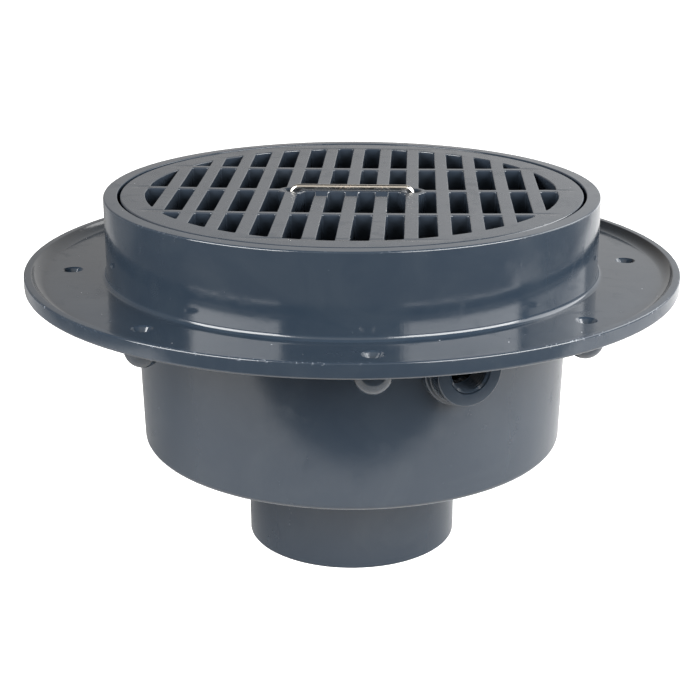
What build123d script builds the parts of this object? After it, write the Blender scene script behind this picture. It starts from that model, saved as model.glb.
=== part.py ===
from build123d import *

import os
from math import ceil, sqrt

# A moulded floor drain with a membrane flange, a lift-out strainer and a wire bail.
# The drain stands on its outlet spigot. Millimetres, +Z up. The origin is the centre of the
# spigot's bottom rim. One of the flange's screw holes lies on -Y, and the side port is half
# a screw spacing round from it, towards +X.

# Outlet spigot, a nominal 4 inch pipe size with a heavy wall
outlet_od = 114.3
outlet_wall = 8.6
outlet_lead = 1.2               # chamfer that starts the spigot in its socket
throat_flare = 2.5              # chamfer where the bowl's floor turns into the outlet
spigot_root = 3.0

# Bowl
bowl_underside = 59.4           # height of the bowl's lower corner over the spigot's end
bowl_draft = 2.2                # the top is this much wider all round, to leave its mould
bowl_wall = 6.5
floor_fall = 4.0                # how far the floor falls from the wall to the outlet
bowl_corner = 3.5
bowl_inner_corner = 5.0

# Membrane flange, with an upturned rim
flange_width = 42.5             # from the collar to the flange's edge
flange_underside = 148.3
flange_thickness = 3.7
rim_height = 7.9                # from the flange's underside to the top of its rim
rim_lip = 4.0
rim_lean = 1.8                  # the rim's inner face leans out by this much
rim_cove = 5.0
rim_edge = 1.6                  # rounding of the rim's two outer edges
rim_inner_edge = 0.8

# Collar round the strainer
collar_od = 260.0
collar_wall = 7.3
collar_step = 14.3              # the collar is this much wider all round than the bowl's top
collar_root = 3.0
collar_edge = 1.2
shoulder_thickness = 5.7        # of the step between the bowl and the wider collar

# Blind screw bosses in the flange
screw_count = 8
screw_inset = 24.1              # from the flange's edge to the screws' circle
screw_hole = 5.0
screw_depth = 13.0
screw_tip = 1.4
screw_sink = 9.0                # across the mouth of the countersink
screw_sink_depth = 1.6
boss_od = 18.2
boss_straight = 6.0             # straight length under the flange, above the round end

# Side port, tapped for a 1/2 inch taper pipe thread
port_below = 16.9               # from the flange's underside down to the port's axis
port_boss_od = 34.6             # its top runs a little into the flange
port_stand_out = 11.3           # from the bowl's widest point to the port's face
port_bore = 18.26
port_mouth = 21.8
port_pad_od = 39.2
port_pad_step = 2.8             # from the bowl's widest point to the pad's face
port_edge = 0.8

# Seat ribs inside the collar, which carry the strainer
seat_rise = 20.7                # from the shoulder to the top of the ribs
seat_rib_count = 12
seat_rib_thickness = 5.0
seat_rib_reach = 10.5
seat_rib_chamfer = 2.0

# Strainer
grate_drop = 0.3                # how far the strainer's rim lies below the collar's lip
grate_depth = 19.0
grate_gap = 1.4                 # radial gap between the strainer and the collar
grate_turn = -6.0               # the strainer lies in its seat a few degrees off the screws
grate_border = 13.0
grate_edge = 0.9
bar_pitch = 15.875
bar_width = 7.0
cross_rib_count = 3
cross_rib_pitch = 53.2
cross_rib_width = 4.9
slot_least = 3.0                # a slot with less than this left inside the border isn't cut
dish = 0.9                      # the top falls this much from its border to its middle
ring_skin = 4.0                 # top of the hollow border ring
ring_wall = 3.7                 # the ring's inner and outer walls

# Wire bail
wire = 3.0
bail_pitches = 4                # the legs stand this many bars apart
bail_lift = 28.0
bail_bend = 4.0
bail_rest = 0.15                # gap between the grip and the pads
bail_stop_gap = 0.2             # gap left between the tails and the strainer when lifted
tail_bend = 3.0
tail_length = 8.0

# The strainer's pads for the bail's legs, and the finger scoop between them
leg_clearance = 0.3             # round the wire in its hole
leg_flare = 3.5                 # how much further the hole's mouth reaches round the wire
tail_flare = 1.85               # the same at the underside
pad_rim = 2.45                  # of the pad, round the mouth
scoop_width = 10.9
scoop_depth = 2.8
scoop_land = 0.3                # left of the bars between the middle rib and the scoop

# Worked out from the sizes above
outlet_r = outlet_od / 2
outlet_bore_r = outlet_r - outlet_wall
collar_r = collar_od / 2
collar_bore_r = collar_r - collar_wall
bowl_top_r = collar_r - collar_step
bowl_bottom_r = bowl_top_r - bowl_draft
flange_r = collar_r + flange_width
flange_top = flange_underside + flange_thickness
rim_top = flange_underside + rim_height
shoulder = flange_underside + shoulder_thickness
screw_circle_r = flange_r - screw_inset
port_turn = 360 / screw_count / 2
port_height = flange_underside - port_below
seat = shoulder + seat_rise
grate_top = seat + grate_depth
collar_top = grate_top + grate_drop
grate_r = collar_bore_r - grate_gap
open_r = grate_r - grate_border
bail_half = bail_pitches * bar_pitch / 2
mouth_r = wire / 2 + leg_flare
pad_r = mouth_r + pad_rim
pad_top = grate_top - dish * (1 - (bail_half / open_r) ** 2)
grip_height = pad_top + bail_rest + wire / 2
tail_height = seat - bail_stop_gap - bail_lift - wire / 2
over = 1.0                      # how far a cutting tool runs past what it cuts


def section(corners):
    """Make a face in the XZ plane. A corner is (radius, height), or has a size and a finish too."""
    face = make_face(Polyline([corner[:2] for corner in corners], close=True))
    for r, z, *finish in corners:
        if finish:
            size, finisher = finish
            vertex = min(face.vertices(), key=lambda v: (v.X - r) ** 2 + (v.Y - z) ** 2)
            face = finisher(vertex, size)
    return Plane.XZ * face


def turned(corners):
    """Turn a section round the Z axis."""
    return revolve(section(corners), Axis.Z)


def drain_outside():
    return turned([
        (0, 0),
        (outlet_r, 0, outlet_lead, chamfer),
        (outlet_r, bowl_underside - floor_fall, spigot_root, chamfer),
        (bowl_bottom_r, bowl_underside, bowl_corner, fillet),
        (bowl_top_r, flange_underside),
        (flange_r, flange_underside, rim_edge, fillet),
        (flange_r, rim_top, rim_edge, fillet),
        (flange_r - rim_lip, rim_top, rim_inner_edge, fillet),
        (flange_r - rim_lip - rim_lean, flange_top, rim_cove, fillet),
        (collar_r, flange_top, collar_root, fillet),
        (collar_r, collar_top, collar_edge, fillet),
        (0, collar_top),
    ])


def drain_inside():
    bowl_floor = bowl_underside + bowl_wall
    return turned([
        (0, -over),
        (outlet_bore_r, -over),
        (outlet_bore_r, bowl_floor - floor_fall, throat_flare, chamfer),
        (bowl_bottom_r - bowl_wall, bowl_floor, bowl_inner_corner, chamfer),
        (bowl_top_r - bowl_wall, shoulder),
        (collar_bore_r, shoulder),
        (collar_bore_r, collar_top + over),
        (0, collar_top + over),
    ])


def on_port(shape):
    """Lay a shape made up the Z axis along the side port instead, outwards from the drain's axis."""
    return Pos(0, 0, port_height) * Rot(0, 0, port_turn) * Rot(90, 0, 0) * shape


def port_boss():
    """The port's boss and the wider pad that it stands on, both run in to the drain's axis."""
    face = bowl_top_r + port_stand_out
    pad = bowl_top_r + port_pad_step
    return on_port(turned([
        (0, 0),
        (port_pad_od / 2, 0),
        (port_pad_od / 2, pad),
        (port_boss_od / 2, pad),
        (port_boss_od / 2, face, port_edge, chamfer),
        (0, face),
    ]))


def port_hole():
    """The tapping bore with its chamfered mouth, run from the drain's axis out past the face."""
    face = bowl_top_r + port_stand_out
    sink = (port_mouth - port_bore) / 2
    return on_port(turned([
        (0, 0),
        (port_bore / 2, 0),
        (port_bore / 2, face - sink),
        (port_mouth / 2, face),
        (port_mouth / 2, face + over),
        (0, face + over),
    ]))


def screw_boss():
    """A blind boss with a round end, its top level with the middle of the flange."""
    height = flange_thickness / 2 + boss_straight
    post = Pos(0, 0, -height / 2) * Cylinder(boss_od / 2, height)
    end = Pos(0, 0, -height) * Sphere(boss_od / 2)
    return Pos(0, 0, flange_top - flange_thickness / 2) * (post + end)


def screw_cut():
    """A countersunk blind hole with a drill point."""
    hole_r = screw_hole / 2
    return Pos(0, 0, flange_top) * turned([
        (0, over),
        (screw_sink / 2, over),
        (screw_sink / 2, 0),
        (hole_r, -screw_sink_depth),
        (hole_r, -screw_depth),
        (0, -screw_depth - screw_tip),
    ])


def seat_rib():
    """One upright rib on +X, from the shoulder to the underside of the strainer."""
    inner = collar_bore_r - seat_rib_reach
    outer = collar_bore_r + over
    side = section([
        (inner, shoulder - over),
        (outer, shoulder - over),
        (outer, seat),
        (inner, seat, seat_rib_chamfer, chamfer),
    ])
    return extrude(side, seat_rib_thickness / 2, both=True)


def drain_body():
    screws = PolarLocations(screw_circle_r, screw_count, start_angle=-90)
    body = drain_outside()
    body += [place * screw_boss() for place in screws]
    body += port_boss()
    body -= drain_inside()
    rib_turn = 360 / seat_rib_count
    body += [Rot(0, 0, (i + 0.5) * rib_turn) * seat_rib() for i in range(seat_rib_count)]
    body -= [place * screw_cut() for place in screws]
    body -= port_hole()
    return body


def slots():
    """The slots' outlines: a grid between the bars and the cross ribs, clipped by border and pads."""
    slot_width = bar_pitch - bar_width
    columns = 2 * ceil(open_r / bar_pitch)
    middles = [(i - (cross_rib_count - 1) / 2) * cross_rib_pitch for i in range(cross_rib_count)]
    fronts = [-open_r] + [y + cross_rib_width / 2 for y in middles]
    backs = [y - cross_rib_width / 2 for y in middles] + [open_r]
    disc = Circle(open_r)
    pads = Pos(-bail_half, 0) * Circle(pad_r) + Pos(bail_half, 0) * Circle(pad_r)
    outlines = []
    for column in range(columns):
        x = (column - (columns - 1) / 2) * bar_pitch
        near_side = abs(x) - slot_width / 2
        for front, back in zip(fronts, backs):
            near_end = max(front, -back, 0)
            if near_side < open_r and sqrt(open_r ** 2 - near_side ** 2) - near_end > slot_least:
                slot = Pos(x, (front + back) / 2) * Rectangle(slot_width, back - front)
                outlines += ((slot & disc) - pads).faces()
    return outlines


def leg_hole():
    """A hole for one leg of the bail, opened out at both ends for the wire's bends."""
    hole_r = wire / 2 + leg_clearance
    under_r = wire / 2 + tail_flare
    return turned([
        (0, seat - over),
        (under_r, seat - over),
        (under_r, seat),
        (hole_r, seat + under_r - hole_r),
        (hole_r, pad_top - mouth_r + hole_r),
        (mouth_r, pad_top),
        (mouth_r, grate_top + over),
        (0, grate_top + over),
    ])


def finger_scoop():
    """A hollow across the bars in front of the middle rib. It ends in the slots beside the pads."""
    half = scoop_width / 2
    radius = (half ** 2 + scoop_depth ** 2) / (2 * scoop_depth)
    middle = cross_rib_width / 2 + scoop_land + half
    floor = grate_top - dish - scoop_depth
    trough = Cylinder(radius, 2 * bail_half - bar_pitch)
    return Pos(0, -middle, floor + radius) * Rot(0, 90, 0) * trough


def dish_hollow():
    """The shallow bowl of the strainer's top, a ball whose poles lie level with its middle."""
    radius = (open_r ** 2 + dish ** 2) / (2 * dish)
    return Pos(0, 0, grate_top + radius - dish) * Rot(90, 0, 0) * Sphere(radius)


def grate():
    plate = turned([
        (0, seat),
        (grate_r, seat),
        (grate_r, grate_top, grate_edge, fillet),
        (0, grate_top),
    ])
    plate -= turned([
        (open_r + ring_wall, seat - over),
        (grate_r - ring_wall, seat - over),
        (grate_r - ring_wall, grate_top - ring_skin),
        (open_r + ring_wall, grate_top - ring_skin),
    ])
    plate -= dish_hollow()
    plate -= finger_scoop()
    below = Plane.XY.offset(seat - over)
    up = (0, 0, 1)
    plate -= [extrude(below * slot, grate_depth + 2 * over, dir=up) for slot in slots()]
    plate -= [Pos(side * bail_half, 0, 0) * leg_hole() for side in (-1, 1)]
    return Rot(0, 0, grate_turn) * plate


def lift_handle():
    """One bent wire: a grip, two legs through the strainer, and two tails that stop them."""
    tail_x = bail_half + tail_length
    path = FilletPolyline(
        (-tail_x, 0, tail_height),
        (-bail_half, 0, tail_height),
        (-bail_half, 0, grip_height),
        (bail_half, 0, grip_height),
        (bail_half, 0, tail_height),
        (tail_x, 0, tail_height),
        radius=[tail_bend, bail_bend, bail_bend, tail_bend],
    )
    end = Plane(origin=path @ 0, z_dir=path % 0)
    return Rot(0, 0, grate_turn) * sweep(end * Circle(wire / 2), path=path)


os.makedirs("parts", exist_ok=True)
for name, make in (("drain_body", drain_body), ("grate", grate), ("lift_handle", lift_handle)):
    piece = make()
    export_step(piece, f"parts/{name}.step")
    size = piece.bounding_box().size
    print(f"{name}: {piece.volume / 1000:.1f} cm3, {size.X:.1f} x {size.Y:.1f} x {size.Z:.1f} mm")
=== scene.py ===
# %% [markdown]
# # A moulded floor drain, dressed in Blender
# The drain's solids come ready made: one grey moulding with a bowl, a flange and a collar, a
# slotted strainer that lies in the collar, and a bent wire for lifting it. This lesson models the
# two mouldings again with soft edges, cuts the thread, gives each piece its finish, and then lights
# and frames them. Everything is in metres, in the same place as the solids.

# %% Load the solids
from math import cos, pi, radians, sin, sqrt, tan

import bmesh
import bpy
from mathutils import Matrix, Vector


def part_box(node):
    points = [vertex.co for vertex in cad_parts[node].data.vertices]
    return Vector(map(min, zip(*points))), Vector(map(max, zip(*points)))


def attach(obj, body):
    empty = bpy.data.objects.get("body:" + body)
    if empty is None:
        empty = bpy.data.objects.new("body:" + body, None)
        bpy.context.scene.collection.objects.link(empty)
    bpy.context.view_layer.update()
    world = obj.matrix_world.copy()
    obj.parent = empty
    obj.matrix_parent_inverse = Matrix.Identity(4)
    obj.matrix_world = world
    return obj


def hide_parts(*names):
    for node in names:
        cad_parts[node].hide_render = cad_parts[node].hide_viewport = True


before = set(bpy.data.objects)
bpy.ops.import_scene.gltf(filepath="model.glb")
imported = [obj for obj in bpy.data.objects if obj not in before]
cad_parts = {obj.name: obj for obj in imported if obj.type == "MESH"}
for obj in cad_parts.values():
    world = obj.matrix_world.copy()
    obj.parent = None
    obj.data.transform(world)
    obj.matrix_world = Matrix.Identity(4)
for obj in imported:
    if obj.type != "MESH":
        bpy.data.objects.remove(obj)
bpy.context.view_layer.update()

mm = 0.001
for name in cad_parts:
    low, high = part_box(name)
    print(name, [round(size / mm, 1) for size in high - low], "mm")

# %% [markdown]
# ## The camera
# The drain was photographed from a little above its flange with a long lens, close by. The
# lens, the distance and the tilt below were worked out from the ellipses of the flange, the
# collar and the outlet, so the drain comes out at its photographed size and angle.

# %% Stand the camera
camera_aim = Vector((-0.00103, 0.00006, 0.1038))
camera_distance = 0.826
camera_turn = -3.53
camera_tilt = 18.73
camera_lens = 77.68


def direction(turn, tilt):
    """The way out from the drain that is turned from -Y towards +X, and tilted up, in degrees."""
    turn, tilt = radians(turn), radians(tilt)
    return Vector((sin(turn) * cos(tilt), -cos(turn) * cos(tilt), sin(tilt)))


lens = bpy.data.cameras.new("camera")
lens.lens = camera_lens
lens.sensor_width = 36
camera = bpy.data.objects.new("camera", lens)
bpy.context.scene.collection.objects.link(camera)
way_back = direction(camera_turn, camera_tilt)
camera.location = camera_aim + way_back * camera_distance
camera.rotation_euler = way_back.to_track_quat("Z", "Y").to_euler()
bpy.context.scene.camera = camera
print("camera at", [round(x, 3) for x in camera.location])

# %% [markdown]
# ## Working by hand, in code
# An operator acts on whatever is selected. These helpers select one piece alone, pick its
# corners, edges or faces by a test, and apply a modifier at once.


# %% Select, pick, apply
def only(piece):
    """Leave edit mode, and select this piece alone."""
    if bpy.context.object and bpy.context.object.mode != "OBJECT":
        bpy.ops.object.mode_set(mode="OBJECT")
    bpy.ops.object.select_all(action="DESELECT")
    piece.select_set(True)
    bpy.context.view_layer.objects.active = piece


def pick(piece, kind, test):
    """In edit mode, select just the vertices, edges or faces that pass a test."""
    bpy.ops.mesh.select_mode(type=kind)
    bpy.ops.mesh.select_all(action="DESELECT")
    mesh = bmesh.from_edit_mesh(piece.data)
    for item in {"VERT": mesh.verts, "EDGE": mesh.edges, "FACE": mesh.faces}[kind]:
        if test(item):
            item.select_set(True)
    mesh.select_flush_mode()
    bmesh.update_edit_mesh(piece.data)


def apply_modifier(piece, kind, **settings):
    """Give a piece a modifier with these settings, and apply it at once."""
    only(piece)
    modifier = piece.modifiers.new(kind.lower(), kind)
    for key, value in settings.items():
        setattr(modifier, key, value)
    bpy.ops.object.modifier_apply(modifier=modifier.name)


# %% [markdown]
# ## Drawing an outline
# Nearly everything here is round, so it starts as half of its cross section. A small plane is
# merged to a single point, the point is extruded from corner to corner, and the corners that
# are rounded on the real moulding are bevelled. A vertex bevel is set by its reach along the
# edges, so a radius has to be turned into that reach first.


# %% Draw and round an outline
def outline(name, corners):
    """Draw an outline in the XZ plane. A corner is (x, z) or (x, z, radius), in millimetres.

    It is closed, unless it starts and ends on the drain's axis."""
    bpy.ops.object.select_all(action="DESELECT")
    bpy.ops.mesh.primitive_plane_add(size=mm)
    piece = bpy.context.object
    piece.name = piece.data.name = name
    bpy.ops.object.mode_set(mode="EDIT")
    bpy.ops.mesh.select_mode(type="VERT")
    bpy.ops.mesh.merge(type="CENTER")
    places = [Vector((corner[0], 0, corner[1])) * mm for corner in corners]
    bpy.ops.transform.translate(value=places[0])
    for here, there in zip(places, places[1:]):
        bpy.ops.mesh.extrude_region_move(TRANSFORM_OT_translate={"value": there - here})
    if places[0].x > 0:
        ends = (places[0], places[-1])
        pick(piece, "VERT", lambda v: min((v.co - end).length for end in ends) < mm / 100)
        bpy.ops.mesh.edge_face_add()
    for i, corner in enumerate(corners):
        if len(corner) > 2:
            here, before, after = places[i], places[i - 1], places[(i + 1) % len(places)]
            turn = pi - (before - here).angle(after - here)
            steps = max(2, round(turn / (pi / 2) * (2 + 2 * sqrt(corner[2]))))
            pick(piece, "VERT", lambda v: (v.co - here).length < mm / 100)
            bpy.ops.mesh.bevel(offset=corner[2] * mm * tan(turn / 2), offset_type="OFFSET",
                               segments=steps, affect="VERTICES")
    return piece


# %% [markdown]
# ## Turning, copying and cutting
# An outline spun once round the axis is a closed solid. What repeats is made once, and each copy
# gets its own mesh. Solids are then added to each other and cut from each other.


# %% Turn an outline, copy, join and combine
def face_outward():
    """In edit mode, turn all faces outward, and leave edit mode."""
    bpy.ops.mesh.select_all(action="SELECT")
    bpy.ops.mesh.normals_make_consistent(inside=False)
    bpy.ops.object.mode_set(mode="OBJECT")


def turned(name, corners, steps=240):
    """Spin an outline once round the drain's axis, and close its seam and poles."""
    piece = outline(name, corners)
    bpy.ops.mesh.select_all(action="SELECT")
    bpy.ops.mesh.spin(steps=steps, angle=2 * pi, center=(0, 0, 0), axis=(0, 0, 1))
    bpy.ops.mesh.select_all(action="SELECT")
    bpy.ops.mesh.remove_doubles(threshold=mm / 1000)
    face_outward()
    return piece


def copies(piece, moves):
    """Put a copy of a piece, with its own mesh, at each of these moves, and drop the first one."""
    made = []
    for move in moves:
        twin = piece.copy()
        twin.data = piece.data.copy()
        twin.data.transform(move)
        bpy.context.scene.collection.objects.link(twin)
        made.append(twin)
    bpy.data.objects.remove(piece)
    return made


def joined(pieces, name):
    """Join pieces that don't touch into one object."""
    only(pieces[0])
    for piece in pieces:
        piece.select_set(True)
    bpy.ops.object.join()
    pieces[0].name = pieces[0].data.name = name
    return pieces[0]


def combine(piece, tool, operation):
    """Add a tool to a piece (UNION), cut it out (DIFFERENCE) or keep both's share (INTERSECT)."""
    apply_modifier(piece, "BOOLEAN", operation=operation, object=tool, solver="EXACT")
    bpy.data.objects.remove(tool)


def smooth(piece):
    """Shade a finished piece smooth, with its large faces deciding which way edges face."""
    only(piece)
    bpy.ops.object.shade_smooth_by_angle(angle=radians(38))
    apply_modifier(piece, "WEIGHTED_NORMAL", mode="FACE_AREA", weight=50, keep_sharp=True)
    print(piece.name, len(piece.data.polygons), "faces")


# %% [markdown]
# ## The moulding
# Bowl, flange and collar are one thick-walled piece, moulded in one go, so all of it comes from
# one outline: up the outside from the outlet, out along the flange and back over its rim, up the
# collar, and down the inside again.

# %% Turn the moulding
moulding = turned("moulding", [
    (48.55, 0, 0.6), (57.15, 0, 1.2),                             # the outlet's end
    (57.15, 55.4, 3), (113.5, 59.4, 3.5), (115.7, 148.3, 1),      # bowl, from outside
    (172.5, 148.3, 1.6), (172.5, 156.2, 0.9), (168.5, 156.2, 0.6), (166.2, 152, 6.3),   # flange
    (130, 152, 2.6), (130, 194, 0.9), (122.7, 194, 0.6),          # collar
    (122.7, 154, 1), (109.2, 154, 1.5), (107, 65.9, 5), (48.55, 61.9, 2.5)])          # inside
print("moulding:", len(moulding.data.polygons), "faces")

# %% [markdown]
# Under the flange hang eight round-ended bosses for screws, and the side port has a stout boss on
# a wider pad. Inside the collar, twelve ribs carry the strainer. All are made a little too long
# at the end that goes into the wall, so that they grow out of it.

# %% Add the bosses, the side port and the seat ribs
screw_circle_radius = 148.4
port_height = 131.4
eighth_turns = [Matrix.Rotation(i * pi / 4, 4, "Z") for i in range(8)]
on_screw_circle = Matrix.Translation((0, -screw_circle_radius * mm, 0))
along_port = (Matrix.Translation((0, 0, port_height * mm)) @ Matrix.Rotation(pi / 8, 4, "Z")
              @ Matrix.Rotation(pi / 2, 4, "X"))

boss = turned("boss", [(0, 133.2), (9.1, 133.2, 9.05), (9.1, 150.15), (0, 150.15)], 32)
bosses = copies(boss, [turn @ on_screw_circle for turn in eighth_turns])

port_boss = turned("port_boss", [
    (0, 110.5), (19.6, 110.5), (19.6, 118.5, 1), (17.3, 118.5, 0.8), (17.3, 127, 0.8), (0, 127)],
    72)
port_boss.data.transform(along_port)

rib_half = 2.5
rib = outline("rib", [(113, 153), (123, 153), (123, 174.7), (112.2, 174.7, 2), (112.2, 154)])
bpy.ops.mesh.select_all(action="SELECT")
bpy.ops.mesh.edge_face_add()
bpy.ops.transform.translate(value=(0, -rib_half * mm, 0))
bpy.ops.mesh.extrude_region_move(TRANSFORM_OT_translate={"value": (0, 2 * rib_half * mm, 0)})
face_outward()
ribs = copies(rib, [Matrix.Rotation((i + 0.5) * pi / 6, 4, "Z") for i in range(12)])

combine(moulding, joined(bosses + [port_boss] + ribs, "additions"), "UNION")
print("with", len(eighth_turns), "bosses:", len(moulding.data.polygons), "faces")

# %% [markdown]
# The screw holes are blind, with a small countersink whose lip is rounded in the tool's outline.
# The port's bore is cut out to the bottom of its thread.

# %% Cut the screw holes and the port
screw_tool = turned("screw_tool", [
    (0, 137.6), (2.5, 139), (2.5, 148.4, 0.3), (4.7, 151.4, 0.5), (5.4, 152), (5.4, 153),
    (0, 153)], 32)
screw_tools = copies(screw_tool, [turn @ on_screw_circle for turn in eighth_turns])
bore_tool = turned("bore_tool", [
    (0, 100), (10.5, 100), (10.5, 126.2), (11.2, 127.1), (11.2, 130), (0, 130)], 72)
bore_tool.data.transform(along_port)
combine(moulding, joined(screw_tools + [bore_tool], "cuts"), "DIFFERENCE")
smooth(moulding)
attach(moulding, "drain")
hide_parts("drain_body")

# %% [markdown]
# ## The thread in the port
# A pipe thread is one ridge that winds round the bore. The Screw modifier winds a small closed
# triangle round and along at once. Its two open ends are then filled.

# %% Wind the thread
thread_pitch = 1.814
thread_turns = 7
thread = outline("port_thread", [
    (10.55, 112.4), (9.35, 113.2), (9.35, 113.35), (10.55, 114.1)])
apply_modifier(thread, "SCREW", axis="Z", angle=2 * pi, screw_offset=thread_pitch * mm,
               iterations=thread_turns, steps=64, render_steps=64, use_merge_vertices=False)
only(thread)
bpy.ops.object.mode_set(mode="EDIT")
bpy.ops.mesh.select_all(action="SELECT")
bpy.ops.mesh.fill_holes(sides=4)
face_outward()
thread.data.transform(along_port)
smooth(thread)
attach(thread, "drain")

# %% [markdown]
# ## The strainer
# The strainer is a thick disc with a grid of slots. The slots are cut all at once: boxes on a
# grid are clipped to the border, cleared round the two pads that hold the wire, and get round
# corners, as the pins of the real mould have. A shallow scoop lets a finger under the wire.
#
# Spinning leaves a fan of spokes on the plate's two flat sides. Each fan is made one face first,
# because spokes that run through the slots' edges leave specks in them.

# %% The plate, and the tools that cut its slots
strainer_top = 193.7
seat = 174.7
strainer_radius = 121.3
groove_radii = (112, 117.6)
groove_top = 189.7
open_radius = 108.3
bar_pitch = 15.875
slot_width = 8.875
rib_pitch = 53.2
rib_width = 4.9

strainer = turned("strainer", [
    (0, seat), (groove_radii[0], seat), (groove_radii[0], groove_top, 1),
    (groove_radii[1], groove_top, 1), (groove_radii[1], seat, 0.4), (strainer_radius, seat, 0.5),
    (strainer_radius, strainer_top, 0.9), (0, strainer_top)], 180)
only(strainer)
bpy.ops.object.mode_set(mode="EDIT")
pick(strainer, "FACE", lambda face: min(v.co.xy.length for v in face.verts) < mm / 100)
bpy.ops.mesh.dissolve_faces()
bpy.ops.object.mode_set(mode="OBJECT")
columns = [(i - 6.5) * bar_pitch for i in range(14)]
rows = [-open_radius - 5, -rib_pitch, 0, rib_pitch, open_radius + 5]
shortest_slot = 3
slots = []
for x in columns:
    for front, back in zip(rows, rows[1:]):
        half_chord = sqrt(max(0, open_radius ** 2 - (abs(x) - slot_width / 2) ** 2))
        if half_chord - max(front, -back) - rib_width / 2 > shortest_slot:
            bpy.ops.object.select_all(action="DESELECT")
            bpy.ops.mesh.primitive_cube_add(
                size=mm, location=Vector((x, (front + back) / 2, (seat + strainer_top) / 2)) * mm,
                scale=(slot_width, back - front - rib_width, strainer_top - seat + 4))
            bpy.ops.object.transform_apply()
            slots.append(bpy.context.object)
print(len(slots), "slots")

# %% [markdown]
# A bevel is held back everywhere by the tightest spot on a piece, so the slots are taken
# apart before their corners are rounded, and joined again afterwards.

# %% Clip the slots, round their corners and cut them
slot_corner = 0.9
pad_radius = 7.45
leg_places = [Matrix.Translation((side * 2 * bar_pitch * mm, 0, 0)) for side in (-1, 1)]
slots = joined(slots, "slots")
disc = turned("disc", [(0, seat - 3), (open_radius, seat - 3), (open_radius, strainer_top + 3),
                       (0, strainer_top + 3)], 96)
disc.data.transform(Matrix.Rotation(radians(1.3), 4, "Z"))
combine(slots, disc, "INTERSECT")


def two_pads():
    """The two round pads for the wire's legs, a little taller than the strainer."""
    pad = turned("pad", [(0, seat - 4), (pad_radius, seat - 4), (pad_radius, strainer_top + 4),
                         (0, strainer_top + 4)], 48)
    return joined(copies(pad, leg_places), "pads")


combine(slots, two_pads(), "DIFFERENCE")
only(slots)
bpy.ops.object.mode_set(mode="EDIT")
bpy.ops.mesh.separate(type="LOOSE")
bpy.ops.object.mode_set(mode="OBJECT")
slots = list(bpy.context.selected_objects)
for slot in slots:
    apply_modifier(slot, "BEVEL", width=slot_corner * mm, segments=3, limit_method="ANGLE",
                   angle_limit=radians(30))
print(len(slots), "slots rounded by", slot_corner, "mm")
combine(strainer, joined(slots, "slots"), "DIFFERENCE")

# %% [markdown]
# The scoop is the bottom of a lying cylinder, just in front of the middle rib. It ends in the
# slots beside the pads. The leg holes open out at both ends for the wire's bends.

# %% Cut the scoop and the leg holes
scoop_half = 5.45
scoop_depth = 2.8
scoop_middle = -8.2
scoop_radius = (scoop_half ** 2 + scoop_depth ** 2) / (2 * scoop_depth)
bpy.ops.object.select_all(action="DESELECT")
bpy.ops.mesh.primitive_cylinder_add(
    vertices=96, radius=scoop_radius * mm, depth=3 * bar_pitch * mm, rotation=(0, pi / 2, 0),
    location=(0, scoop_middle * mm, (strainer_top - scoop_depth + scoop_radius) * mm))
scoop = bpy.context.object
bpy.ops.object.transform_apply()
combine(strainer, scoop, "DIFFERENCE")

leg_tool = turned("leg_tool", [
    (0, seat - 1), (3.35, seat - 1), (3.35, seat), (1.8, seat + 1.55), (1.8, 190.5, 3),
    (5, 193.5, 0.3), (6.25, 194), (0, 194)], 32)
combine(strainer, joined(copies(leg_tool, leg_places), "leg_tools"), "DIFFERENCE")
print("the scoop's radius is", round(scoop_radius, 2), "mm")

# %% [markdown]
# Now the edges of the bars are softened, and the top is let down in a very shallow dish, which is
# how such a thick grid shrinks in its mould. The top is divided along the bars and across them
# first, so that it can bend, and then every point above the bars' feet goes down by its place in
# the dish. At the end the strainer is turned a few degrees, as it was dropped in.

# %% Soften and dish the strainer
bar_edge = 0.7
dish = 0.9
strainer_turn = -6
apply_modifier(strainer, "BEVEL", width=bar_edge * mm, segments=3, limit_method="ANGLE",
               angle_limit=radians(40), use_clamp_overlap=False)
only(strainer)
bpy.ops.object.mode_set(mode="EDIT")
bpy.ops.mesh.select_all(action="SELECT")
bpy.ops.mesh.quads_convert_to_tris()
bar_middles = [(i * bar_pitch, (1, 0, 0)) for i in range(-7, 8)]
steps_along = [(i * rib_pitch / 4, (0, 1, 0)) for i in range(-8, 9)]
for place, normal in bar_middles + steps_along:
    bpy.ops.mesh.select_all(action="SELECT")
    bpy.ops.mesh.bisect(plane_co=Vector(normal) * place * mm, plane_no=normal)
bpy.ops.object.mode_set(mode="OBJECT")
for vertex in strainer.data.vertices:
    share = (vertex.co.z / mm - seat) / (strainer_top - seat)
    across = vertex.co.xy.length / mm / open_radius
    vertex.co.z -= dish * mm * max(0, share) * max(0, 1 - across ** 2)
strainer.data.transform(Matrix.Rotation(radians(strainer_turn), 4, "Z"))
smooth(strainer)
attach(strainer, "drain")
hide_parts("grate")


# %% [markdown]
# ## Building materials from nodes
# A material is a net of small steps. Two helpers add a step and link it in one line: one for any
# kind of node, one for sums. A third starts a group, which is a net with named inputs and outputs
# that several materials can share.


# %% Add nodes and groups
def step(tree, kind, values, **settings):
    """Add a node, set it up, and give each of its named inputs a value or a link."""
    node = tree.nodes.new("ShaderNode" + kind)
    for key, value in settings.items():
        setattr(node, key, value)
    for key, value in values.items():
        if isinstance(value, bpy.types.NodeSocket):
            tree.links.new(value, node.inputs[key])
        else:
            node.inputs[key].default_value = value
    return node


def sums(tree, operation, *values):
    """A Math node on one, two or three values."""
    return step(tree, "Math", dict(enumerate(values)), operation=operation).outputs[0]


def product(tree, *values):
    """Multiply any number of values."""
    total = values[0]
    for value in values[1:]:
        total = sums(tree, "MULTIPLY", total, value)
    return total


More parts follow.
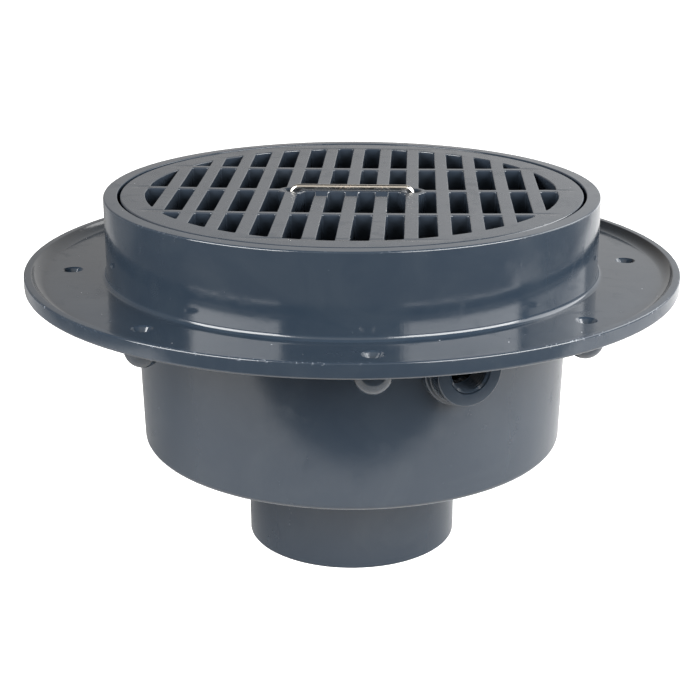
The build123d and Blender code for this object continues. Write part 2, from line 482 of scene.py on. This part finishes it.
def ramp(tree, value, low, high, bottom=0.0, top=1.0):
    """Go smoothly from bottom to top while a value goes from low to high."""
    return step(tree, "MapRange", {"Value": value, "From Min": low, "From Max": high,
                                   "To Min": bottom, "To Max": top},
                interpolation_type="SMOOTHSTEP").outputs[0]


def blend(tree, share, under, over):
    """Lay one colour over another."""
    return step(tree, "Mix", {"Factor": share, "A": under, "B": over},
                data_type="RGBA").outputs["Result"]


def noise(tree, vector, scale, detail=3.0, roughness=0.5, distortion=0.0):
    """A Noise texture's values."""
    return step(tree, "TexNoise", {"Vector": vector, "Scale": scale, "Detail": detail,
                                   "Roughness": roughness, "Distortion": distortion}).outputs["Fac"]


def group(name, inputs, outputs):
    """Start a shared effect. Its inputs are given as name=default, colours as three numbers."""
    tree = bpy.data.node_groups.new(name, "ShaderNodeTree")
    for label, value in inputs.items():
        colour = isinstance(value, tuple)
        socket = tree.interface.new_socket(
            label, in_out="INPUT", socket_type="NodeSocketColor" if colour else "NodeSocketFloat")
        socket.default_value = (*value, 1) if colour else value
    for label in outputs:
        tree.interface.new_socket(label, in_out="OUTPUT", socket_type="NodeSocketColor"
                                  if label == "Color" else "NodeSocketFloat")
    return tree, tree.nodes.new("NodeGroupInput").outputs, tree.nodes.new("NodeGroupOutput").inputs


def spot(tree, turn=0.0):
    """Where a point is, in metres, after the piece is turned back by some degrees round +Z."""
    place = step(tree, "TexCoord", {}).outputs["Object"]
    if turn:
        place = step(tree, "Mapping", {"Vector": place, "Rotation": (0, 0, radians(-turn))}
                     ).outputs[0]
    return place


def outward(tree, place):
    """The part of a place that leads away from the drain's axis."""
    parts = step(tree, "SeparateXYZ", {0: place}).outputs
    return step(tree, "CombineXYZ", {"X": parts["X"], "Y": parts["Y"]}).outputs[0]


def height_and_radius(tree, place):
    """How high a place is, and how far from the drain's axis."""
    height = step(tree, "SeparateXYZ", {0: place}).outputs["Z"]
    radius = step(tree, "VectorMath", {0: outward(tree, place)}, operation="LENGTH")
    return height, radius.outputs["Value"]


def facing_up(tree):
    """How far a surface faces up, from -1 to 1."""
    normal = step(tree, "NewGeometry", {}).outputs["Normal"]
    return step(tree, "SeparateXYZ", {0: normal}).outputs["Z"]


def switch(tree, share, under, over):
    """Go from one value to another."""
    return step(tree, "Mix", {"Factor": share, "A": under, "B": over}).outputs["Result"]


# %% [markdown]
# ## Moulded skin
# Polished PVC is never even. Its colour is faintly mottled, handling leaves dull smudges in the
# gloss, the surface waves by a few hundredths of a millimetre where it shrank, and the melt
# leaves fine streaks that fan out from the middle, where it entered the mould.

# %% The skin of a moulding
skin, given, made = group("moulded_skin", {
    "Color": (0.1, 0.1, 0.1), "Mottle Color": (0.2, 0.2, 0.2), "Roughness": 0.2, "Smudge": 0.1,
    "Side Gloss": 0.0, "Wave": 1.0, "Streak": 1.0}, ["Color", "Roughness", "Height"])
place = spot(skin)
links = skin.links
mottle = noise(skin, place, 26, 5, 0.6, 0.8)
links.new(blend(skin, ramp(skin, mottle, 0.35, 0.75), given["Color"], given["Mottle Color"]),
          made["Color"])
fingers = ramp(skin, noise(skin, place, 42, 6, 0.62, 1.6), 0.5, 0.72)
grit = ramp(skin, noise(skin, place, 700, 2), 0.35, 0.75, 0.93, 1.1)
gloss = sums(skin, "SUBTRACT", 1, product(skin, given["Side Gloss"],
                                          ramp(skin, facing_up(skin), 0.98, 0.85)))
links.new(product(skin, grit, gloss, sums(skin, "MULTIPLY_ADD", fingers, given["Smudge"],
                                          given["Roughness"])), made["Roughness"])
fan = step(skin, "VectorMath", {0: outward(skin, place)}, operation="NORMALIZE").outputs[0]
streak = noise(skin, fan, 120, 3, 0.65)
ripple = product(skin, 0.07, noise(skin, place, 260, 3, 0.6))
wave = sums(skin, "ADD", noise(skin, place, 34, 2), ripple)
links.new(sums(skin, "ADD", sums(skin, "MULTIPLY", wave, given["Wave"]),
               sums(skin, "MULTIPLY", streak, given["Streak"])), made["Height"])
print(skin.name, len(skin.nodes), "nodes")

# %% [markdown]
# ## Dust, worn rims and knit lines
# Dust lies as single specks on what faces up. Rims that were set down on a bench have small
# bright nicks along one circle. Where two fronts of melt met, a hair line is left.

# %% Dust specks
dust, given, made = group("dust_specks", {
    "Color": (0.1, 0.1, 0.1), "Roughness": 0.2, "Dust Color": (0.3, 0.3, 0.3),
    "Speck Spacing": 0.004, "Share": 0.1}, ["Color", "Roughness"])
cells = step(dust, "TexVoronoi", {"Vector": spot(dust),
                                  "Scale": sums(dust, "DIVIDE", 1, given["Speck Spacing"])})
chance = step(dust, "SeparateColor", {0: cells.outputs["Color"]}).outputs
size = ramp(dust, chance["Green"], 0, 1, 0.03, 0.085)
inside = sums(dust, "LESS_THAN", cells.outputs["Distance"], size)
chosen = sums(dust, "LESS_THAN", chance["Red"], given["Share"])
speck = product(dust, inside, chosen, ramp(dust, facing_up(dust), 0.25, 0.8))
dust.links.new(blend(dust, speck, given["Color"], given["Dust Color"]), made["Color"])
dust.links.new(switch(dust, speck, given["Roughness"], 0.9), made["Roughness"])
print(dust.name, len(dust.nodes), "nodes")

# %% Nicks along a rim
worn, given, made = group("worn_rim", {
    "Color": (0.1, 0.1, 0.1), "Roughness": 0.2, "Worn Color": (0.3, 0.3, 0.3), "Rim Radius": 0.17,
    "Rim Height": 0.156, "Reach": 0.001, "Wear": 0.5}, ["Color", "Roughness"])
place = spot(worn)
height, radius = height_and_radius(worn, place)
rise = sums(worn, "SUBTRACT", height, given["Rim Height"])
stand = sums(worn, "SUBTRACT", radius, given["Rim Radius"])
away = sums(worn, "SQRT", sums(worn, "ADD", sums(worn, "MULTIPLY", rise, rise),
                               sums(worn, "MULTIPLY", stand, stand)))
near = ramp(worn, sums(worn, "DIVIDE", away, given["Reach"]), 0.5, 1.0, 1.0, 0.0)
nicks = ramp(worn, noise(worn, place, 620, 3, 0.7), 0.56, 0.66)
scuffs = ramp(worn, noise(worn, place, 60, 4, 0.6), 0.42, 0.62)
mark = product(worn, near, given["Wear"], nicks, scuffs)
worn.links.new(blend(worn, mark, given["Color"], given["Worn Color"]), made["Color"])
worn.links.new(switch(worn, mark, given["Roughness"], 0.6), made["Roughness"])
print(worn.name, len(worn.nodes), "nodes")

# %% A knit line across the collar
knit, given, made = group("knit_line", {
    "Color": (0.1, 0.1, 0.1), "Height": 0.5, "Line Color": (0.1, 0.1, 0.1), "Half Width": 0.0002,
    "Depth": 1.0}, ["Color", "Height"])
knit_turn = 4.5
across = step(knit, "SeparateXYZ", {0: spot(knit, knit_turn)}).outputs
line = ramp(knit, sums(knit, "DIVIDE", sums(knit, "ABSOLUTE", across["Y"]), given["Half Width"]),
            0.4, 1.0, 1.0, 0.0)
line = product(knit, line, ramp(knit, across["X"], 0.120, 0.121),
               ramp(knit, across["Z"], 0.170, 0.185))
knit.links.new(blend(knit, sums(knit, "MULTIPLY", line, 0.8), given["Color"],
                     given["Line Color"]), made["Color"])
knit.links.new(sums(knit, "SUBTRACT", given["Height"],
                    sums(knit, "MULTIPLY", line, given["Depth"])), made["Height"])
print(knit.name, len(knit.nodes), "nodes")

# %% [markdown]
# ## Marks of the strainer's mould
# The mould's cores meet along the back of each cross rib, which leaves a hair line across the
# bars. Where a thick rib runs into the border, the top sinks by a few hundredths.

# %% Core lines and sinks
marks, given, made = group("core_marks", {
    "Color": (0.1, 0.1, 0.1), "Height": 0.5, "Line Color": (0.01, 0.01, 0.01), "Line": 0.7,
    "Sink": 1.0}, ["Color", "Height"])
place = spot(marks, strainer_turn)
height, radius = height_and_radius(marks, place)
along = step(marks, "SeparateXYZ", {0: place}).outputs["Y"]
half_pitch = rib_pitch / 2 * mm


def from_a_rib(offset):
    """How far in front of or behind the nearest cross rib's middle, less an offset."""
    return sums(marks, "ABSOLUTE", sums(marks, "WRAP", sums(marks, "ADD", along, offset),
                                        half_pitch, -half_pitch))


line = product(marks, ramp(marks, from_a_rib(-rib_width / 2 * mm), 0.4 * mm, 0.15 * mm),
               ramp(marks, radius, 0.1085, 0.107), ramp(marks, height, 0.190, 0.192))
marks.links.new(blend(marks, product(marks, line, given["Line"]), given["Color"],
                      given["Line Color"]), made["Color"])
sink = product(marks, ramp(marks, from_a_rib(0.0), 3.5 * mm, 0.0),
               ramp(marks, radius, 0.101, 0.109), ramp(marks, radius, 0.119, 0.110))
marks.links.new(sums(marks, "SUBTRACT", given["Height"],
                     sums(marks, "MULTIPLY", sink, given["Sink"])), made["Height"])
print(marks.name, len(marks.nodes), "nodes")

# %% [markdown]
# ## Drawn wire
# Wire is pulled through a die, so fine scratches run along it: along the grip near the top and
# down the legs below. Water has left brownish specks on the middle of the grip.

# %% Scratches and water stains
drawn, given, made = group("drawn_wire", {
    "Color": (0.7, 0.7, 0.7), "Stain Color": (0.25, 0.18, 0.12), "Roughness": 0.2, "Stain": 0.5},
    ["Color", "Roughness", "Height"])
place = spot(drawn, strainer_turn)
along = step(drawn, "SeparateXYZ", {0: place}).outputs


def scratches(*scale):
    """Fine lines, drawn out along the direction of the smallest scale."""
    return noise(drawn, step(drawn, "VectorMath", {0: place, 1: scale},
                             operation="MULTIPLY").outputs[0], 1, 3, 0.6)


grip_lines = scratches(60, 2600, 2600)
leg_lines = scratches(2600, 2600, 60)
upper = ramp(drawn, sums(drawn, "ABSOLUTE", along["X"]), 0.0305, 0.0285)
lines = switch(drawn, upper, leg_lines, grip_lines)
specks = ramp(drawn, noise(drawn, place, 800, 4, 0.7), 0.46, 0.6)
patches = ramp(drawn, noise(drawn, place, 120, 3, 0.6), 0.36, 0.6)
middle = ramp(drawn, sums(drawn, "ABSOLUTE", along["X"]), 0.026, 0.010, 0.1, 1.0)
stain = product(drawn, given["Stain"], middle, specks, patches)
drawn.links.new(blend(drawn, stain, given["Color"], given["Stain Color"]), made["Color"])
drawn.links.new(sums(drawn, "ADD", sums(drawn, "MULTIPLY_ADD", lines, 0.14, given["Roughness"]),
                     product(drawn, stain, 0.3)), made["Roughness"])
drawn.links.new(lines, made["Height"])
print(drawn.name, len(drawn.nodes), "nodes")

# %% [markdown]
# ## The three finishes
# Each finish is a chain of those effects that ends in one Principled shader. A bump is given as
# the depth of its deepest mark.


# %% Chain the effects
def finish(name, effects, relief, **values):
    """A Principled material whose colour, roughness and height run through a chain of groups."""
    material = bpy.data.materials.new(name)
    material.use_nodes = True
    tree = material.node_tree
    shader = tree.nodes["Principled BSDF"]
    for key, value in values.items():
        shader.inputs[key.replace("_", " ")].default_value = value
    running = {}
    for effect, settings in effects:
        node = tree.nodes.new("ShaderNodeGroup")
        node.node_tree = effect
        for socket in node.inputs:
            if socket.name in running:
                tree.links.new(running[socket.name], socket)
            elif socket.name in settings:
                value = settings[socket.name]
                socket.default_value = (*value, 1) if isinstance(value, tuple) else value
        running.update({socket.name: socket for socket in node.outputs})
    bump = step(tree, "Bump", {"Height": running["Height"], "Distance": relief, "Strength": 1.0})
    tree.links.new(running["Color"], shader.inputs["Base Color"])
    tree.links.new(running["Roughness"], shader.inputs["Roughness"])
    tree.links.new(bump.outputs[0], shader.inputs["Normal"])
    return material


def dress(piece, material):
    """Give a piece this one material."""
    piece.data.materials.clear()
    piece.data.materials.append(material)


# %% Slate grey PVC, glossy
slate = finish("slate_pvc", [
    (skin, {"Color": (0.0135, 0.0208, 0.0312), "Mottle Color": (0.0185, 0.026, 0.036),
            "Roughness": 0.115, "Smudge": 0.17, "Wave": 1.0, "Streak": 0.14}),
    (knit, {"Line Color": (0.006, 0.008, 0.011), "Half Width": 0.00025, "Depth": 0.5}),
    (worn, {"Worn Color": (0.20, 0.22, 0.25), "Rim Radius": 0.1725, "Rim Height": 0.1562,
            "Reach": 0.0016, "Wear": 0.7}),
    (worn, {"Worn Color": (0.16, 0.18, 0.21), "Rim Radius": 0.130, "Rim Height": 0.194,
            "Reach": 0.0012, "Wear": 0.25}),
    (dust, {"Dust Color": (0.32, 0.33, 0.35), "Speck Spacing": 0.0045, "Share": 0.10})], 0.00012)
dress(moulding, slate)
dress(thread, slate)

# %% Strainer PVC, satin
satin = finish("satin_pvc", [
    (skin, {"Color": (0.016, 0.022, 0.031), "Mottle Color": (0.021, 0.027, 0.036),
            "Roughness": 0.25, "Smudge": 0.08, "Side Gloss": 0.55, "Wave": 0.6, "Streak": 0.0}),
    (marks, {"Line Color": (0.008, 0.010, 0.013), "Line": 0.7, "Sink": 3.2}),
    (dust, {"Dust Color": (0.34, 0.35, 0.37), "Speck Spacing": 0.0035, "Share": 0.06})], 0.00012,
    Specular_IOR_Level=0.72)
dress(strainer, satin)

# %% Stainless wire
steel = finish("steel_wire", [
    (drawn, {"Color": (0.72, 0.69, 0.64), "Stain Color": (0.30, 0.22, 0.15), "Roughness": 0.12,
             "Stain": 0.8})], 0.000008, Metallic=1.0)
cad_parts["lift_handle"].material_slots[0].material = steel
print("finishes:", slate.name, satin.name, steel.name)

# %% [markdown]
# ## Floor and light
# The drain stood on a white table between two large soft boxes, one on each side of the camera,
# and the photograph was cut out on white. So the floor and the world are plain white to the
# camera alone. What lights the plastic, and what it mirrors, is the table, which ends a hand's
# width in front of the drain, a dim room, a pale wall behind and the soft boxes.

# %% The table
bpy.ops.object.select_all(action="DESELECT")
bpy.ops.mesh.primitive_plane_add(size=24)
floor = bpy.context.object
floor.name = "floor"
left_edge, right_edge, front_edge = (-0.585, -0.525), (0.71, 0.65), (-0.31, -0.26)
paper = bpy.data.materials.new("white_table")
paper.use_nodes = True
net = paper.node_tree
net.nodes.clear()
place = step(net, "SeparateXYZ", {0: spot(net)}).outputs
side, back = place["X"], place["Y"]
on_table = product(net, ramp(net, side, *left_edge), ramp(net, side, *right_edge),
                   ramp(net, back, *front_edge))
# Behind the drain the table's tone is painted darker towards the left: painted shade.
behind = ramp(net, side, -0.15, 0.15, 0.24, 0.5)
tone_with_painted_shade = switch(net, ramp(net, back, -0.12, 0.06), 0.5, behind)
# Three patches of the table glow, though they are no lamps: far behind, and behind on the right and
# on the left. This is painted light, which the plastic mirrors and is lit by; the camera sees plain
# white instead.
right_glow = product(net, ramp(net, side, 0.05, 0.4), ramp(net, back, 0.15, 0.4), 0.42)
left_glow = product(net, ramp(net, side, -0.34, -0.44), ramp(net, back, 0.2, 0.4), 0.22)
far_glow = product(net, ramp(net, back, 0.8, 1.2), ramp(net, side, -0.1, 0.5, 0.4, 3.0))
tone = sums(net, "MULTIPLY_ADD", on_table, tone_with_painted_shade, 0.08)
cloth = step(net, "BsdfDiffuse", {"Color": tone}).outputs[0]
painted_glow = step(net, "Emission", {"Strength": sums(net, "ADD", far_glow, sums(
    net, "ADD", right_glow, left_glow))}).outputs[0]
lit = step(net, "AddShader", {0: cloth, 1: painted_glow}).outputs[0]
white = step(net, "BsdfDiffuse", {"Color": (0.8, 0.8, 0.8, 1)}).outputs[0]
glow = step(net, "Emission", {"Strength": 0.85}).outputs[0]
seen = step(net, "AddShader", {0: white, 1: glow}).outputs[0]
eye = step(net, "LightPath", {}).outputs["Is Camera Ray"]
surface = step(net, "MixShader", {0: eye, 1: lit, 2: seen}).outputs[0]
step(net, "OutputMaterial", {"Surface": surface})
dress(floor, paper)
print("the table reaches", round(right_edge[1] - left_edge[1], 2), "m from side to side")

# %% The room
world = bpy.data.worlds.new("room")
world.use_nodes = True
bpy.context.scene.world = world
net = world.node_tree
way = step(net, "SeparateXYZ", {0: step(net, "TexCoord", {}).outputs["Generated"]}).outputs
wall = blend(net, ramp(net, way["X"], -0.6, 0.6), (0.3, 0.28, 0.26, 1), (0.97, 0.97, 0.97, 1))
around = blend(net, ramp(net, way["Y"], -0.2, 0.6), (0.2, 0.2, 0.2, 1), wall)
dim = blend(net, ramp(net, way["Z"], 0.5, 0.85, 0.0, 0.8), around, (0, 0, 0, 1))
lamp_share = product(net, ramp(net, way["Y"], -0.25, -0.5), ramp(net, way["Z"], 0.3, 0.5),
                     ramp(net, way["Z"], 0.95, 0.85))
room = blend(net, lamp_share, dim, (0.9, 0.84, 0.75, 1))
eye = step(net, "LightPath", {}).outputs["Is Camera Ray"]
net.links.new(blend(net, eye, room, (1.05, 1.05, 1.05, 1)),
              net.nodes["Background"].inputs["Color"])
print(world.name, len(net.nodes), "nodes")


# %% The soft boxes
def soft_box(name, turn, tilt, wide, high, radiance, distance=1.0):
    """A rectangular light that spans these angles, seen from the drain.

    Its turn counts from the camera's, its tilt from the floor."""
    data = bpy.data.lights.new(name, "AREA")
    data.shape = "RECTANGLE"
    data.size = 2 * distance * tan(radians(wide / 2))
    data.size_y = 2 * distance * tan(radians(high / 2))
    data.energy = radiance * pi * data.size * data.size_y
    lamp = bpy.data.objects.new(name, data)
    bpy.context.scene.collection.objects.link(lamp)
    way = direction(turn + camera_turn, tilt)
    lamp.location = camera_aim + way * distance
    lamp.rotation_euler = way.to_track_quat("Z", "Y").to_euler()
    print(name, round(data.energy, 1), "W")


soft_box("left_box", -51.5, 27, 41, 30, 16)
soft_box("right_box", 49, 27, 52, 30, 16)
soft_box("side_box", 107, 30, 46, 30, 4.2, 1.6)

view = bpy.context.scene.view_settings
view.view_transform = "Standard"
view.look = "None"
